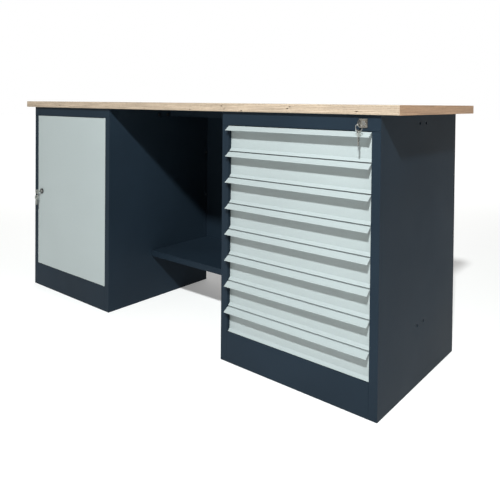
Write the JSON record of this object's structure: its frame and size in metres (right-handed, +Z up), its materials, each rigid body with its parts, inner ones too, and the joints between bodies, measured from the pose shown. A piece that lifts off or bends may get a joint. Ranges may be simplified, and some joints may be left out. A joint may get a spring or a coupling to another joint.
{
  "type": "workbench with drawers",
  "caption": "Workbench with a plywood top on steel cabinets, a locking hinged door at one end and locking full-width drawers at the other, and a low shelf across the knee space between them.",
  "frame": {"origin": "on the floor, at the middle of the whole bench's bounding box in plan", "axes": "+X along the bench to the drawer cabinet, +Y to its back, +Z up"},
  "size_m": [1.97, 0.647, 0.9],
  "materials": {
    "birch_ply": "sanded birch plywood, clear sealed",
    "slate_paint": "fine satin powder coat, anthracite",
    "pale_paint": "fine satin powder coat, light grey",
    "zinc": "zinc-plated steel",
    "nickel": "nickel plate, lightly worn",
    "dark_fastener": "black oxide",
    "black_lock": "black, semi-gloss"
  },
  "bodies": {
    "bench": {"worktop": "birch_ply", "worktop_screws": "zinc", "left_cabinet_outer_side": "slate_paint", "left_cabinet_inner_side": "slate_paint", "left_cabinet_back": "slate_paint", "left_cabinet_floor": "slate_paint", "left_cabinet_header": "slate_paint", "left_cabinet_plinth": "slate_paint", "top_rails": "slate_paint", "inner_shelf": "pale_paint", "shelf_pegs": "zinc", "door_pivots": "zinc", "right_cabinet_inner_side": "slate_paint", "right_cabinet_outer_side": "slate_paint", "right_cabinet_back": "slate_paint", "right_cabinet_floor": "slate_paint", "right_cabinet_header": "slate_paint", "right_cabinet_plinth": "slate_paint", "runner_uprights": "zinc", "cabinet_runners": "zinc", "knee_rail": "slate_paint", "knee_back_panel": "slate_paint", "knee_shelf": "slate_paint", "cabinet_fasteners": "dark_fastener", "drawer_lock_body": "nickel", "lock_bar_guides": "zinc"},
    "drawer_1": {"drawer_1_front": "pale_paint", "drawer_1_tray": "pale_paint", "drawer_1_runners": "zinc"},
    "drawer_2": {"drawer_2_front": "pale_paint", "drawer_2_tray": "pale_paint", "drawer_2_runners": "zinc"},
    "drawer_3": {"drawer_3_front": "pale_paint", "drawer_3_tray": "pale_paint", "drawer_3_runners": "zinc"},
    "drawer_4": {"drawer_4_front": "pale_paint", "drawer_4_tray": "pale_paint", "drawer_4_runners": "zinc"},
    "drawer_5": {"drawer_5_front": "pale_paint", "drawer_5_tray": "pale_paint", "drawer_5_runners": "zinc"},
    "drawer_6": {"drawer_6_front": "pale_paint", "drawer_6_tray": "pale_paint", "drawer_6_runners": "zinc"},
    "drawer_7": {"drawer_7_front": "pale_paint", "drawer_7_tray": "pale_paint", "drawer_7_runners": "zinc"},
    "drawer_8": {"drawer_8_front": "pale_paint", "drawer_8_tray": "pale_paint", "drawer_8_runners": "zinc"},
    "door": {"door_panel": "pale_paint", "door_lock_body": "black_lock"},
    "door_lock": {"door_lock_cylinder": "zinc", "door_lock_key": "nickel"},
    "door_key_ring": {"door_lock_spare_key": "nickel"},
    "drawer_lock": {"drawer_lock_cylinder": "zinc", "drawer_lock_key": "nickel"},
    "drawer_key_ring": {"drawer_lock_spare_key": "nickel"},
    "lock_bar": {"lock_bar": "zinc", "lock_bar_fingers": "zinc"}
  },
  "joints": [
    {"name": "drawer_1_slide", "type": "slide", "parent": "bench", "child": "drawer_1", "axis": [0, -1, 0], "range_m": [0, 0.42]},
    {"name": "drawer_2_slide", "type": "slide", "parent": "bench", "child": "drawer_2", "axis": [0, -1, 0], "range_m": [0, 0.42]},
    {"name": "drawer_3_slide", "type": "slide", "parent": "bench", "child": "drawer_3", "axis": [0, -1, 0], "range_m": [0, 0.42]},
    {"name": "drawer_4_slide", "type": "slide", "parent": "bench", "child": "drawer_4", "axis": [0, -1, 0], "range_m": [0, 0.42]},
    {"name": "drawer_5_slide", "type": "slide", "parent": "bench", "child": "drawer_5", "axis": [0, -1, 0], "range_m": [0, 0.42]},
    {"name": "drawer_6_slide", "type": "slide", "parent": "bench", "child": "drawer_6", "axis": [0, -1, 0], "range_m": [0, 0.42]},
    {"name": "drawer_7_slide", "type": "slide", "parent": "bench", "child": "drawer_7", "axis": [0, -1, 0], "range_m": [0, 0.42]},
    {"name": "drawer_8_slide", "type": "slide", "parent": "bench", "child": "drawer_8", "axis": [0, -1, 0], "range_m": [0, 0.42]},
    {"name": "door_hinge", "type": "hinge", "parent": "bench", "child": "door", "pos_m": [-0.3625, -0.2805, 0.4685], "axis": [0, 0, 1], "range_deg": [0, 110]},
    {"name": "door_lock_turn", "type": "hinge", "parent": "door", "child": "door_lock", "pos_m": [-0.8605, -0.2885, 0.463], "axis": [0, 1, 0], "range_deg": [0, 90]},
    {"name": "door_key_ring_swing", "type": "hinge", "parent": "door_lock", "child": "door_key_ring", "pos_m": [-0.8605, -0.3135, 0.463], "axis": [1, 0, 0], "range_deg": [-80, 18]},
    {"name": "drawer_lock_turn", "type": "hinge", "parent": "bench", "child": "drawer_lock", "pos_m": [0.871, -0.2885, 0.8475], "axis": [0, 1, 0], "range_deg": [0, 90]},
    {"name": "drawer_key_ring_swing", "type": "hinge", "parent": "drawer_lock", "child": "drawer_key_ring", "pos_m": [0.871, -0.3135, 0.8475], "axis": [1, 0, 0], "range_deg": [-80, 8]},
    {"name": "lock_bar_slide", "type": "slide", "parent": "bench", "child": "lock_bar", "axis": [0, 0, 1], "range_m": [0, 0.01697]}
  ],
  "couplings": [
    {"joint": "drawer_lock_turn", "follows": "lock_bar_slide", "rad_per_m": 92.56}
  ]
}
